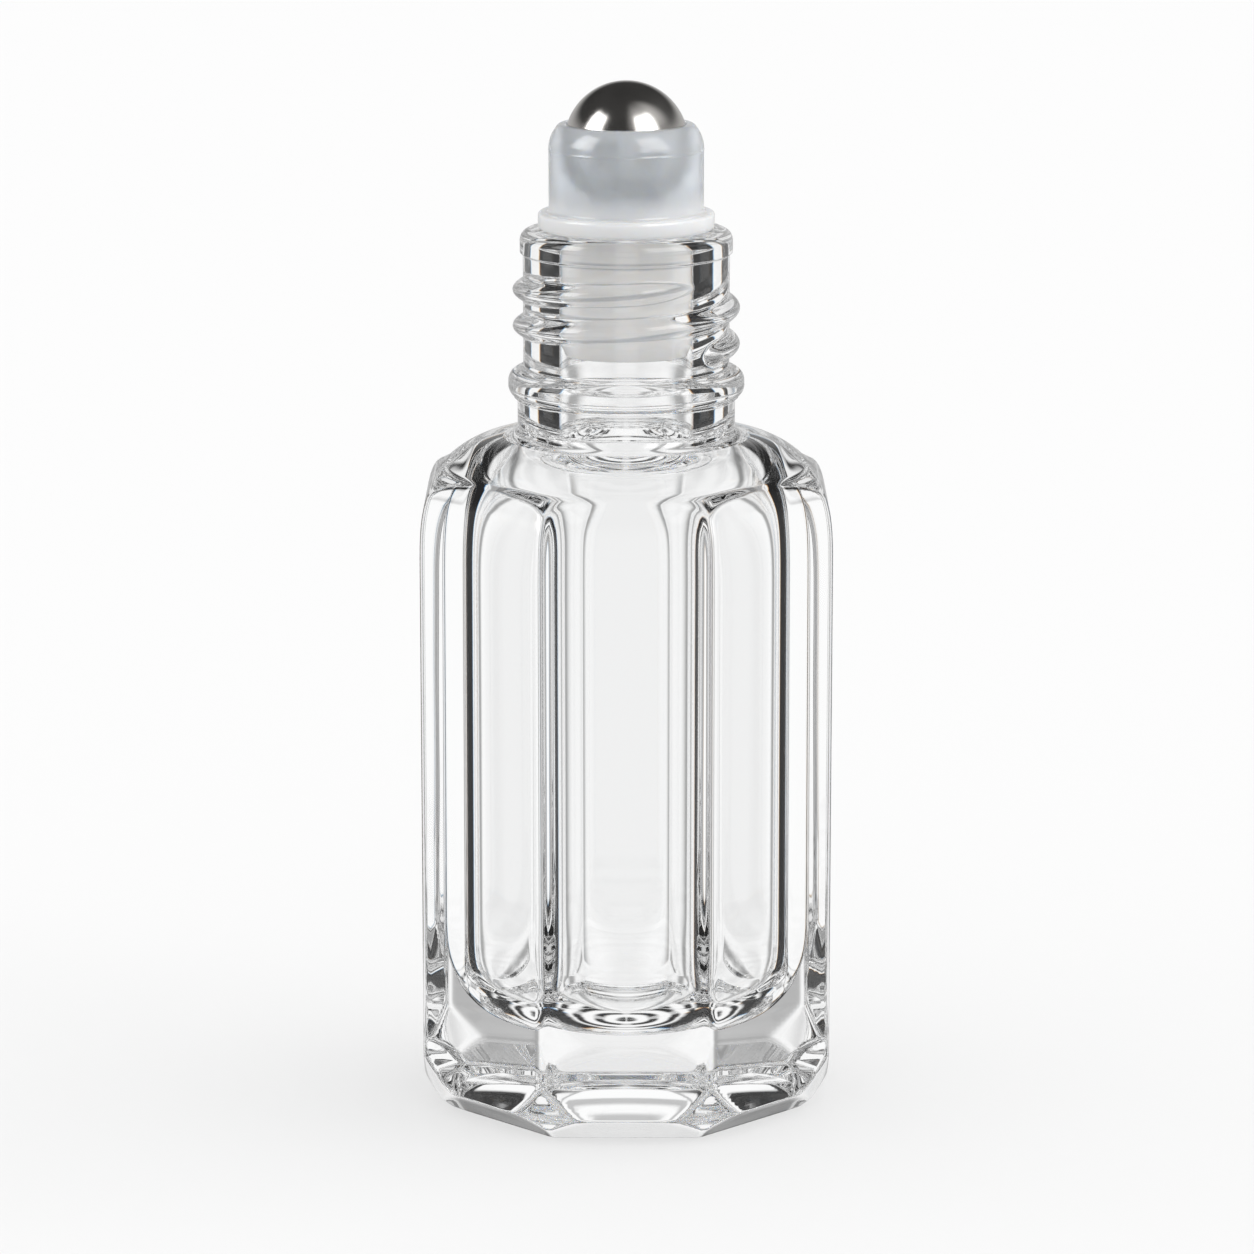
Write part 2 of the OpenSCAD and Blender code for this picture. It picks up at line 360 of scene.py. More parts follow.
class TurnedSolidTree(Tree):
    """Geometry Nodes that turn a profile into a closed solid with flats, a screw thread and grooves."""

    # How far a faded thread sinks into the wall, as a share of its height.
    THREAD_SINK = 1.6
    # Shares of half a groove's width at which its floor ends and its side has ended.
    GROOVE_FLOOR = 0.8
    GROOVE_SIDE = 1.1
    # The tree's named inputs and their plain values.
    NUMBERS: dict[str, float] = {
        "Flat Count": 8.0,
        "Corner Crowding": 0.0,
        "Thread Height": 0.0,
        "Thread Wall": 0.0,
        "Thread Pitch": 1.0,
        "Thread Start Height": 0.0,
        "Thread Start Angle": 0.0,
        "Thread Turns": 0.0,
        "Thread Crest": 1.0,
        "Thread Fillet": 0.0,
        "Thread Low Fade": 1.0,
        "Thread High Fade": 1.0,
        "Groove Count": 1.0,
        "Groove Width": 0.0,
    }

    def __init__(self) -> None:
        """Builds the whole tree."""
        super().__init__(bpy.data.node_groups.new("turned_solid", "GeometryNodeTree"))
        face = self.tree.interface
        face.new_socket("Profile", in_out="INPUT", socket_type="NodeSocketGeometry")
        face.new_socket("Columns", in_out="INPUT", socket_type="NodeSocketInt")
        for name, default in self.NUMBERS.items():
            face.new_socket(name, in_out="INPUT", socket_type="NodeSocketFloat").default_value = default
        face.new_socket("Finish", in_out="INPUT", socket_type="NodeSocketMaterial")
        face.new_socket("Solid", in_out="OUTPUT", socket_type="NodeSocketGeometry")
        self.given = self.node("NodeGroupInput").outputs
        sheet, self.row, self.angle, self.off_middle = self.sheet()
        solid = self.shape(sheet)
        out = self.node("NodeGroupOutput")
        self.feed(out.inputs["Solid"], solid)

    def number(self, name: str) -> Value:
        """One of the tree's named inputs."""
        return Value(self, self.given[name])

    def sheet(self) -> tuple[bpy.types.NodeSocket, Value, Value, Value]:
        """A flat grid with a row for each ring.

        Returns:
            The grid, then for each of its points the number of its ring, its angle round the axis and
            how far that lies from the middle of its flat.
        """
        profile = {"Geometry": self.given["Profile"]}
        size = self.node("GeometryNodeAttributeDomainSize", profile, component="MESH")
        rows = Value(self, size.outputs["Point Count"])
        columns = self.number("Columns")
        grid = self.node("GeometryNodeMeshGrid", {
            "Size X": 1.0, "Size Y": 1.0, "Vertices X": columns + 1.0, "Vertices Y": rows})
        position = self.node("GeometryNodeInputPosition").outputs[0]
        place = self.node("ShaderNodeSeparateXYZ", {0: position})
        across = Value(self, place.outputs["X"]) + 0.5
        along = Value(self, place.outputs["Y"]) + 0.5
        row = self.math("ROUND", along * (rows - 1.0))
        flats = self.number("Flat Count")
        turned = self.math("ROUND", across * columns) / columns * flats
        middle = self.math("ROUND", turned)
        share = (turned - middle) * 2.0
        crowding = self.number("Corner Crowding")
        crowded = self.math("SINE", share * (math.pi / 2)) * crowding + share * (1.0 - crowding)
        angle = (middle + crowded / 2.0) / flats * math.tau
        off_middle = self.math("ABSOLUTE", crowded) / flats * math.pi
        return grid.outputs["Mesh"], row, angle, off_middle

    def sampled(self, value: bpy.types.NodeSocket, kind: str) -> bpy.types.NodeSocket:
        """A fact of the profile's point on this row.

        Args:
            value: The field to read there.
            kind: Its data type.

        Returns:
            The socket with the value.
        """
        node = self.node("GeometryNodeSampleIndex", data_type=kind, domain="POINT")
        self.feed(node.inputs["Geometry"], self.given["Profile"])
        self.feed(node.inputs["Index"], self.row)
        self.feed(next(s for s in node.inputs if s.name == "Value" and s.enabled), value)
        return next(s for s in node.outputs if s.enabled)

    def fact(self, name: ProfileField) -> Value:
        """The number under that name at this row's point of the profile."""
        named = self.node("GeometryNodeInputNamedAttribute", {"Name": name.value}, data_type="FLOAT")
        return Value(self, self.sampled(next(s for s in named.outputs if s.enabled), "FLOAT"))

    def flat_radius(self) -> Value:
        """Radius of the pressed flats at this angle, with their corners rounded by true arcs.

        Returns:
            The radius.
        """
        flat, corner = self.fact(ProfileField.FLAT), self.fact(ProfileField.CORNER)
        half = self.math("DIVIDE", math.pi, self.number("Flat Count"))
        reach = (flat - corner) / self.math("COSINE", half)
        off_corner = half - self.off_middle
        side = reach * self.math("SINE", off_corner)
        room = self.math("MAXIMUM", corner * corner - side * side, 0.0)
        bent = reach * self.math("COSINE", off_corner) + self.math("SQRT", room)
        straight = flat / self.math("COSINE", self.off_middle)
        tangent = flat * self.math("TANGENT", self.off_middle)
        limit = (flat - corner) * self.math("TANGENT", half)
        on_flat = self.math("LESS_THAN", tangent, limit)
        return straight * on_flat + bent * (1.0 - on_flat)

    def thread_radius(self, height: Value) -> Value:
        """Radius of the screw thread's crest surface at this angle and height.

        Args:
            height: Height of the point.

        Returns:
            A radius that stays under the wall away from the thread.
        """
        pitch = self.number("Thread Pitch")
        start = self.number("Thread Start Angle")
        turned = self.math("WRAP", self.angle - start, math.tau, 0.0) / math.tau
        climbed = (height - self.number("Thread Start Height")) / pitch
        lap = self.math("ROUND", climbed - turned)
        whole = turned + lap
        low = self.smooth_step(whole, 0.0, self.number("Thread Low Fade"))
        left = self.number("Thread Turns") - whole
        high = self.smooth_step(left, 0.0, self.number("Thread High Fade"))
        off = (climbed - whole) * pitch
        tall = self.number("Thread Height")
        sunk = (1.0 - low * high) * tall * self.THREAD_SINK
        crest = self.number("Thread Wall") + tall - sunk
        return crest - off * off / (self.number("Thread Crest") * 2.0)

    def groove(self, radius: Value) -> Value:
        """How far the grooves push the surface out at this angle.

        Args:
            radius: Radius of the plain surface.

        Returns:
            The extra radius.
        """
        count = self.number("Groove Count")
        turned = self.angle * count / math.tau
        away = self.math("ABSOLUTE", turned - self.math("ROUND", turned)) * math.tau / count * radius
        half = self.number("Groove Width") / 2.0
        share = 1.0 - self.smooth_step(away, half * self.GROOVE_FLOOR, half * self.GROOVE_SIDE)
        return self.fact(ProfileField.GROOVE) * share

    def shape(self, sheet: bpy.types.NodeSocket) -> bpy.types.NodeSocket:
        """Wraps the grid round the axis, closes it and gives it its finish.

        Args:
            sheet: The flat grid.

        Returns:
            The finished geometry.
        """
        point = self.sampled(self.node("GeometryNodeInputPosition").outputs[0], "FLOAT_VECTOR")
        place = self.node("ShaderNodeSeparateXYZ", {0: point})
        height = Value(self, place.outputs["Z"])
        turned = Value(self, place.outputs["X"])
        radius = self.math("SMOOTH_MIN", turned, self.flat_radius(), self.fact(ProfileField.BLEND))
        thread = self.thread_radius(height)
        raised = self.math("SMOOTH_MAX", radius, thread, self.number("Thread Fillet"))
        radius = radius + (raised - radius) * self.fact(ProfileField.THREAD)
        radius = radius + self.groove(radius)
        wrapped = self.node("ShaderNodeCombineXYZ", {
            "X": radius * self.math("COSINE", self.angle),
            "Y": radius * self.math("SINE", self.angle),
            "Z": height})
        moved = self.node("GeometryNodeSetPosition", {"Geometry": sheet, "Position": wrapped.outputs[0]})
        closed = self.node("GeometryNodeMergeByDistance", {
            "Geometry": moved.outputs[0], "Distance": WELD})
        smooth = self.node("GeometryNodeSetShadeSmooth", {"Geometry": closed.outputs[0]})
        real = self.node("GeometryNodeRealizeInstances", {"Geometry": smooth.outputs[0]})
        dressed = self.node("GeometryNodeSetMaterial", {
            "Geometry": real.outputs[0], "Material": self.given["Finish"]})
        return dressed.outputs[0]


@dataclass
class TurnedSolid:
    """A closed solid made from a profile by TurnedSolidTree.

    Args:
        name: Name of the piece.
        rings: Rings of its profile, from one end of its surface to the other.
        columns: Number of points round each ring.
        numbers: Values of the tree's other named inputs, lengths in metres.
    """

    name: str
    rings: list[Ring]
    columns: int
    numbers: dict[str, float] = field(default_factory=dict)

    def profile(self) -> bpy.types.Object:
        """Makes the profile as a chain of points that carry each ring's facts.

        Returns:
            The object that the tree works on.
        """
        mesh = bpy.data.meshes.new(self.name + "_profile")
        points = [(ring.radius * MM, 0.0, ring.height * MM) for ring in self.rings]
        mesh.from_pydata(points, [(i, i + 1) for i in range(len(points) - 1)], [])
        facts = {
            ProfileField.FLAT: [ring.flat * MM for ring in self.rings],
            ProfileField.CORNER: [ring.corner * MM for ring in self.rings],
            ProfileField.BLEND: [ring.blend * MM for ring in self.rings],
            ProfileField.THREAD: [ring.thread for ring in self.rings],
            ProfileField.GROOVE: [ring.groove * MM for ring in self.rings],
        }
        for fact, values in facts.items():
            mesh.attributes.new(fact.value, "FLOAT", "POINT").data.foreach_set("value", values)
        return bpy.data.objects.new(self.name + "_profile", mesh)

    def build(self, tree: TurnedSolidTree, finish: bpy.types.Material) -> bpy.types.Object:
        """Runs the tree and bakes its result into a plain mesh with outward faces.

        Args:
            tree: The shared node tree.
            finish: Material of the piece.

        Returns:
            The finished piece, at the origin.
        """
        source = self.profile()
        bpy.context.scene.collection.objects.link(source)
        modifier = source.modifiers.new("turned_solid", "NODES")
        modifier.node_group = tree.tree
        settings: dict[str, object] = {"Columns": self.columns, "Finish": finish, **self.numbers}
        for item in tree.tree.interface.items_tree:
            if item.item_type == "SOCKET" and item.in_out == "INPUT" and item.name in settings:
                modifier[item.identifier] = settings[item.name]
        evaluated = source.evaluated_get(bpy.context.evaluated_depsgraph_get())
        mesh = bpy.data.meshes.new_from_object(evaluated)
        source.modifiers.remove(modifier)
        bpy.data.objects.remove(source)
        mesh.name = self.name
        self.turn_outward(mesh)
        piece = bpy.data.objects.new(self.name, mesh)
        bpy.context.scene.collection.objects.link(piece)
        return piece

    def turn_outward(self, mesh: bpy.types.Mesh) -> None:
        """Turns the faces outwards where they point inwards, and reports the shell.

        Args:
            mesh: The piece's mesh.
        """
        shell = bmesh.new()
        shell.from_mesh(mesh)
        if shell.calc_volume(signed=True) < 0:
            bmesh.ops.reverse_faces(shell, faces=shell.faces)
        open_edges = sum(1 for edge in shell.edges if len(edge.link_faces) != 2)
        shell.to_mesh(mesh)
        volume = shell.calc_volume() / MM ** 3
        log.info("%s: %d faces, %d open edges, %.0f mm3", self.name, len(shell.faces), open_edges, volume)
        shell.free()


@dataclass(frozen=True)
class ClearGlass:
    """Colourless pressed glass, fire polished, with the faint ripple of its mould.

    Args:
        tint: Colour of the light that passes through.
        ior: How strongly the glass bends light.
        ripple: Height of the mould's ripple in metres.
        ripple_scale: Ripples to a metre.
        ripple_draw: Share to which the ripples are thinned out up the bottle, so that they run upright.
        shade: Share of light that each wall lets through to the floor.
    """

    tint: tuple[float, float, float] = (0.995, 0.997, 0.997)
    ior: float = 1.5
    ripple: float = 0.000006
    ripple_scale: float = 170.0
    ripple_draw: float = 0.35
    shade: float = 0.87

    def material(self) -> bpy.types.Material:
        """Builds the glass as a node material.

        Returns:
            The material.
        """
        glass, tree = new_material("pressed_glass")
        place = tree.node("ShaderNodeTexCoord").outputs["Object"]
        stretched = tree.node("ShaderNodeMapping", {"Vector": place, "Scale": (1.0, 1.0, self.ripple_draw)})
        noise = tree.node("ShaderNodeTexNoise", {
            "Vector": stretched.outputs[0], "Scale": self.ripple_scale, "Detail": 1.0, "Roughness": 0.4})
        bump = tree.node("ShaderNodeBump", {
            "Strength": 1.0, "Distance": self.ripple, "Height": noise.outputs["Fac"]})
        body = tree.node("ShaderNodeBsdfPrincipled", {
            "Base Color": (*self.tint, 1.0), "Roughness": 0.0, "IOR": self.ior,
            "Transmission Weight": 1.0, "Normal": bump.outputs["Normal"]})
        shade = (self.shade, self.shade, self.shade, 1.0)
        clear = tree.node("ShaderNodeBsdfTransparent", {"Color": shade})
        path = tree.node("ShaderNodeLightPath").outputs
        shadow, scattered = (Value(tree, path[name]) for name in ("Is Shadow Ray", "Is Diffuse Ray"))
        lamp = tree.math("MAXIMUM", shadow, scattered)
        mixed = tree.node("ShaderNodeMixShader")
        tree.feed(mixed.inputs[0], lamp)
        tree.feed(mixed.inputs[1], body.outputs[0])
        tree.feed(mixed.inputs[2], clear.outputs[0])
        tree.node("ShaderNodeOutputMaterial", {"Surface": mixed.outputs[0]})
        return glass


@dataclass(frozen=True)
class FrostedPolymer:
    """Milky translucent moulded polymer with a soft gloss.

    Args:
        tint: Colour of the cup's thin wall round the ball.
        thick: Colour of the flange and the plug, where more of it scatters the light.
        clearness: Share of light that passes through the cup.
        thick_clearness: Clearness of the thick parts, as a share of the cup's.
        cloud: How much the cup's clearness and colour vary from place to place.
        cup_foot: Height where the cup begins, in metres.
        cup_fade: Height over which the thick part's look changes to the cup's, in metres.
        seal_z: Height of the lowest sealing ring of the plug, in metres.
        seal_step: Distance between two sealing rings, in metres.
        seal_count: Number of sealing rings.
        seal_core: Half of the height over which a ring's painted shade line is full, in metres.
        seal_edge: Half of the height that a ring's painted shade line covers at all, in metres.
        seal_painted_shade: How much darker the plug is painted along each sealing ring: a painted shadow
            line where the ring meets the bore.
        flange_foot: Height where the flange begins, in metres.
        flange_fade: Height over which the flange's painted shade begins, in metres.
        flange_painted_shade: How much darker the flange is painted than the plug, a painted shade that stands
            in for less light on it.
    """

    tint: tuple[float, float, float] = (0.835, 0.88, 0.945)
    thick: tuple[float, float, float] = (0.955, 0.963, 0.975)
    clearness: float = 0.78
    thick_clearness: float = 0.3
    cloud: float = 0.16
    cup_foot: float = 0.0585
    cup_fade: float = 0.002
    seal_z: float = 0.052245
    seal_step: float = 0.001775
    seal_count: int = 3
    seal_core: float = 0.00012
    seal_edge: float = 0.00032
    seal_painted_shade: float = 0.4
    flange_foot: float = 0.0574
    flange_fade: float = 0.0002
    flange_painted_shade: float = 0.18

    def material(self) -> bpy.types.Material:
        """Builds the polymer as a node material.

        Returns:
            The material.
        """
        polymer, tree = new_material("frosted_polymer")
        place = tree.node("ShaderNodeTexCoord").outputs["Object"]
        cloud = tree.node("ShaderNodeTexNoise", {"Vector": place, "Scale": 420.0, "Detail": 3.0})
        fine = tree.node("ShaderNodeTexNoise", {"Vector": place, "Scale": 5200.0, "Detail": 2.0})
        height = Value(tree, tree.node("ShaderNodeSeparateXYZ", {0: place}).outputs["Z"])
        clouded = tree.smooth_step(Value(tree, cloud.outputs["Fac"]), 0.2, 0.8)
        cup = tree.smooth_step(height, self.cup_foot, self.cup_foot + self.cup_fade)
        cup = cup * (clouded * self.cloud + (1.0 - self.cloud))
        # Painted shade: the plug's colour is darkened in a thin band along each sealing ring, a painted
        # shadow line where the ring meets the bore.
        steps = (height - self.seal_z) / self.seal_step
        ring = tree.math("MAXIMUM", tree.math("ROUND", steps), 0.0)
        ring = tree.math("MINIMUM", ring, self.seal_count - 1.0)
        off_ring = tree.math("ABSOLUTE", steps - ring) * self.seal_step
        pressed = tree.smooth_step(off_ring, self.seal_edge, self.seal_core) * self.seal_painted_shade
        colour = tree.node("ShaderNodeMix", data_type="RGBA")
        tree.feed(colour.inputs[0], cup)
        tree.feed(colour.inputs[6], (*self.thick, 1.0))
        tree.feed(colour.inputs[7], (*self.tint, 1.0))
        shaded = tree.node("ShaderNodeVectorMath", {0: colour.outputs[2]}, operation="SCALE")
        # Painted shade: the flange's colour is darkened against the plug's, standing in for less light
        # falling on it.
        flange = tree.smooth_step(height, self.flange_foot, self.flange_foot + self.flange_fade) * (1.0 - cup)
        tree.feed(shaded.inputs["Scale"], (1.0 - pressed) * (1.0 - flange * self.flange_painted_shade))
        bump = tree.node("ShaderNodeBump", {
            "Strength": 0.25, "Distance": 0.00001, "Height": fine.outputs["Fac"]})
        clear = (cup * (1.0 - self.thick_clearness) + self.thick_clearness) * self.clearness
        body = tree.node("ShaderNodeBsdfPrincipled", {
            "Base Color": shaded.outputs[0], "Roughness": 0.68, "IOR": 1.1, "Transmission Weight": clear,
            "Coat Weight": 1.0, "Coat Roughness": 0.15, "Coat IOR": 1.75,
            "Subsurface Weight": 1.0, "Subsurface Radius": (1.0, 1.15, 1.4), "Subsurface Scale": 0.0015,
            "Normal": bump.outputs["Normal"]})
        tree.node("ShaderNodeOutputMaterial", {"Surface": body.outputs[0]})
        return polymer


@dataclass(frozen=True)
class PolishedSteel:
    """Bright bearing steel with the finest lapping marks.

    Args:
        tint: Colour of the metal.
        least_rough: Roughness where it is brightest.
        smear: How much rougher it is where it is dullest.
    """

    tint: tuple[float, float, float] = (0.62, 0.60, 0.575)
    least_rough: float = 0.14
    smear: float = 0.05

    def material(self) -> bpy.types.Material:
        """Builds the steel as a node material.

        Returns:
            The material.
        """
        steel, tree = new_material("polished_steel")
        place = tree.node("ShaderNodeTexCoord").outputs["Object"]
        smears = tree.node("ShaderNodeTexNoise", {"Vector": place, "Scale": 600.0, "Detail": 4.0})
        smeared = tree.smooth_step(Value(tree, smears.outputs["Fac"]), 0.3, 0.75)
        rough = smeared * self.smear + self.least_rough
        fine = tree.node("ShaderNodeTexNoise", {"Vector": place, "Scale": 9000.0, "Detail": 3.0})
        bump = tree.node("ShaderNodeBump", {
            "Strength": 0.12, "Distance": 0.000004, "Height": fine.outputs["Fac"]})
        body = tree.node("ShaderNodeBsdfPrincipled", {
            "Base Color": (*self.tint, 1.0), "Metallic": 1.0, "Roughness": rough,
            "Normal": bump.outputs["Normal"]})
        tree.node("ShaderNodeOutputMaterial", {"Surface": body.outputs[0]})
        return steel


@dataclass
class GlassBottle:
    """The pressed glass: octagonal body, shoulder, neck with its screw thread, and the inside.

    Lengths are in millimetres and angles in degrees. A field that ends in gap is the largest distance
    between two rings there.

    Args:
        flat: Distance of the body's flats from the axis.
        corner: Round where two flats meet.
        foot_flat: Distance of the foot's flats from the axis.
        foot_edge: Round between the foot and its bevel.
        foot_margin: Room between the base's hollow and the foot's first flat ring.
        foot_spans: Spans from the hollow to the foot's edge.
        foot_blend: Softness of the foot's flats.
        heel_h: Height of the bevel.
        heel_edge: Round between the bevel and the wall.
        heel_top: Height where the heel's rings end.
        heel_gap: Gap between rings on the heel.
        heel_corner_r: Radius of the foot's eight points.
        heel_corner_lean: Lean of the bevel at these points.
        heel_corner_margin: How far the turned surface clears the body's corners above them.
        punt_r: Radius of the hollow under the base.
        punt_depth: Depth of the hollow.
        punt_spans: Spans from the middle of the hollow to its edge.
        crown_r: Distance from the axis of the middle of the shoulder's upper round.
        crown_z: Height of the top of the shoulder.
        crown_round: Upper round of the shoulder.
        crown_end: Angle where that round ends.
        crown_spans: Spans of that round.
        sweep: Lower, wider round of the shoulder.
        sweep_turn: Angle where the lower round ends and the upper one begins.
        sweep_spans: Spans of the lower round.
        shoulder_gap: Gap between rings on the shoulder.
        wall_foot: Height of the wall's first ring.
        wall_margin: How far under the shoulder the wall's last ring lies.
        wall_gap: Gap between rings on the wall.
        ridge_z: Height where the ridges between the flats begin to round over.
        ridge_round: That round.
        ridge_over: How far the ridges stand over the corners of the flats.
        panel_lift: Share of its distance from the ridge by which a flat fades out on the shoulder.
        panel_lift_most: Largest such fade.
        panel_proud: How far the flats stay outside the turned shoulder.
        panel_proud_rate: How fast they get there.
        crease_soft: Softness of the crease between a flat and the shoulder.
        neck_foot_r: Radius of the neck below the bead.
        neck_flare: Hollow round at the foot of the neck.
        flare_spans: Spans of that round.
        bead_z: Height of the middle of the transfer bead.
        bead_r: Radius of the bead.
        bead_h: Thickness of the bead.
        bead_round: Round of the bead's edges.
        bead_foot_round: Hollow round under the bead.
        bead_top_round: Hollow round over the bead.
        bead_lean: How far the bead's sides lean.
        wall_r: Radius of the neck's wall.
        lip_r: Radius of the lip.
        lip_z: Height of the lip.
        lip_h: Thickness of the lip.
        lip_step: Height and rounds of the step under the lip.
        lip_round: Upper round of the lip.
        neck_gap: Gap between rings on the neck away from the thread.
        bore_r: Radius of the neck's bore.
        bore_margin: Straight length kept where two outlines of the bore meet.
        bore_lip_round: Round at the bore's top.
        bore_mouth_round: Round where the bore opens into the cavity.
        cavity_r: Radius of the cavity at its corners.
        cavity_flat: Distance of its soft flats from the axis.
        cavity_corner: Round where two of them meet.
        cavity_top: Height of its ceiling.
        cavity_straight: Straight length kept at the wall by the ceiling's and the floor's outlines.
        cavity_turn: Largest turn between two points of its rounds.
        ceiling_flat: Width of the ceiling's flat ring beside the bore.
        ceiling_round: Round from the ceiling to the wall.
        ceiling_gap: Gap between rings there.
        ceiling_passes: How often its bends are eased.
        floor_z: Height of the floor.
        floor_round: Round from the wall to the floor.
        floor_middle: Radius inside which the floor is plain.
        floor_gap: Gap between rings there.
        floor_passes: How often its bends are eased.
        edge_blend: Softness between the flats and the turned surface outside.
        cavity_blend: The same in the cavity.
        thread_h: Height of the thread over the wall.
        thread_pitch: Rise of the thread in one turn.
        thread_z: Height where the thread starts.
        thread_start: Angle where it starts.
        thread_turns: Number of turns.
        thread_gap: Gap between rings along the thread.
        columns: Points round each ring.
    """

    flat: float = 13.3
    corner: float = 1.0
    foot_flat: float = 11.46
    foot_edge: float = 0.3
    foot_margin: float = 0.1
    foot_spans: int = 5
    foot_blend: float = 0.05
    heel_h: float = 1.6
    heel_edge: float = 0.4
    heel_top: float = 4.6
    heel_gap: float = 0.3
    heel_corner_r: float = 12.86
    heel_corner_lean: float = 22.0
    heel_corner_margin: float = 0.3
    punt_r: float = 8.5
    punt_depth: float = 0.7
    punt_spans: int = 8
    crown_r: float = 7.6
    crown_z: float = 44.1
    crown_round: float = 5.9
    crown_end: float = 87.5
    crown_spans: int = 30
    sweep: float = 12.4
    sweep_turn: float = 32.0
    sweep_spans: int = 26
    shoulder_gap: float = 0.2
    wall_foot: float = 5.2
    wall_margin: float = 1.0
    wall_gap: float = 5.0
    ridge_z: float = 39.2
    ridge_round: float = 3.0
    ridge_over: float = 0.04
    panel_lift: float = 0.5
    panel_lift_most: float = 2.0
    panel_proud: float = 0.05
    panel_proud_rate: float = 2.0
    crease_soft: float = 1.1
    neck_foot_r: float = 7.05
    neck_flare: float = 0.8
    flare_spans: int = 9
    bead_z: float = 47.6
    bead_r: float = 7.65
    bead_h: float = 1.9
    bead_round: float = 0.8
    bead_foot_round: float = 0.25
    bead_top_round: float = 0.3
    bead_lean: float = 0.05
    wall_r: float = 6.675
    lip_r: float = 6.875
    lip_z: float = 57.55
    lip_h: float = 1.6
    lip_step: float = 0.12
    lip_round: float = 0.7
    neck_gap: float = 4.0
    bore_r: float = 4.35
    bore_margin: float = 0.1
    bore_lip_round: float = 0.3
    bore_mouth_round: float = 1.1
    cavity_r: float = 9.32
    cavity_flat: float = 8.8
    cavity_corner: float = 2.3
    cavity_top: float = 41.9
    cavity_straight: float = 3.5
    cavity_turn: float = 4.0
    ceiling_flat: float = 0.4
    ceiling_round: float = 3.0
    ceiling_gap: float = 0.35
    ceiling_passes: int = 16
    floor_z: float = 5.7
    floor_round: float = 5.0
    floor_middle: float = 2.0
    floor_gap: float = 0.45
    floor_passes: int = 13
    edge_blend: float = 0.12
    cavity_blend: float = 0.5
    thread_h: float = 0.675
    thread_pitch: float = 2.35
    thread_z: float = 49.8
    thread_start: float = -50.0
    thread_turns: float = 2.06
    thread_gap: float = 0.11
    columns: int = 240

    def foot_rings(self) -> list[Ring]:
        """Rings of the hollow base, the foot and its bevel.

        Returns:
            The rings, from the middle of the base to the wall.
        """
        ball = (self.punt_r ** 2 + self.punt_depth ** 2) / (2 * self.punt_depth)
        rings = []
        for i in range(self.punt_spans + 1):
            radius = self.punt_r * math.sin(math.pi / 2 * i / self.punt_spans)
            rings.append(Ring(radius, self.punt_depth - ball + math.sqrt(ball ** 2 - radius ** 2)))
        lean = math.tan(math.radians(self.heel_corner_lean))
        start = self.punt_r / math.cos(HALF_FLAT) + self.foot_margin
        line = rounded([
            (start, 0.0, 0.0), (self.foot_flat, 0.0, self.foot_edge),
            (self.flat, self.heel_h, self.heel_edge), (self.flat, self.heel_top, 0.0)])
        foot = [p for p in line if p[1] <= 0]
        last = foot[-1][0]
        for i in range(1, self.foot_spans + 1):
            share = i / self.foot_spans
            rings.append(Ring(
                self.punt_r + (self.heel_corner_r - self.punt_r) * share, 0.0,
                start + (last - start) * share, self.corner, self.foot_blend))
        corner_r = self.flat / math.cos(HALF_FLAT) + self.heel_corner_margin
        for flat, height in filled([p for p in line if p[1] > 0], self.heel_gap):
            turned = min(self.heel_corner_r + height * lean, corner_r)
            rings.append(Ring(turned, height, flat, self.corner, self.edge_blend))
        return rings

    def shoulder_line(self) -> Outline:
        """Outline of the dome.

        Returns:
            Its points, from the top of the wall to the foot of the neck.
        """
        turn = math.radians(self.sweep_turn)
        crown_mid = self.crown_z - self.crown_round
        shift = self.sweep - self.crown_round
        sweep_r, sweep_z = self.crown_r - shift * math.cos(turn), crown_mid - shift * math.sin(turn)
        line = arc(sweep_r, sweep_z, self.sweep, 0, self.sweep_turn, self.sweep_spans)
        line += arc(
            self.crown_r, crown_mid, self.crown_round, self.sweep_turn, self.crown_end, self.crown_spans)[1:]
        return line

    def ridge_radius(self, height: float) -> float:
        """How far the ridge between two flats reaches from the axis.

        Args:
            height: Height on the bottle.

        Returns:
            The radius, or 0 over the ridge.
        """
        corner = (self.flat - self.corner) / math.cos(HALF_FLAT) + self.corner + self.ridge_over
        above = height - self.ridge_z
        if above <= 0:
            return corner
        if above >= self.ridge_round:
            return 0.0
        return corner - self.ridge_round + math.sqrt(self.ridge_round ** 2 - above ** 2)

    def body_rings(self) -> list[Ring]:
        """Rings of the wall and the shoulder.

        Returns:
            The rings, up to the foot of the neck.
        """
        dome = self.shoulder_line()
        wall = filled([(0, self.wall_foot), (0, dome[0][1] - self.wall_margin)], self.wall_gap)
        rings = [Ring(self.ridge_radius(0), z, self.flat, self.corner, self.edge_blend) for _, z in wall]
        for r, z in filled(dome, self.shoulder_gap):
            ridge, panel = self.ridge_radius(z), eased_least(r, self.flat, self.crease_soft)
            lift = min(self.panel_lift_most, max(0.0, panel - ridge) * self.panel_lift)
            lift += self.panel_proud * min(1.0, (self.flat - panel) * self.panel_proud_rate)
            rings.append(Ring(max(ridge, panel), z, panel + lift, self.corner, self.edge_blend))
        flare = arc(
            self.neck_foot_r + self.neck_flare, self.crown_z + self.neck_flare, self.neck_flare,
            270, 180, self.flare_spans)
        return rings + [Ring(r, z) for r, z in flare]

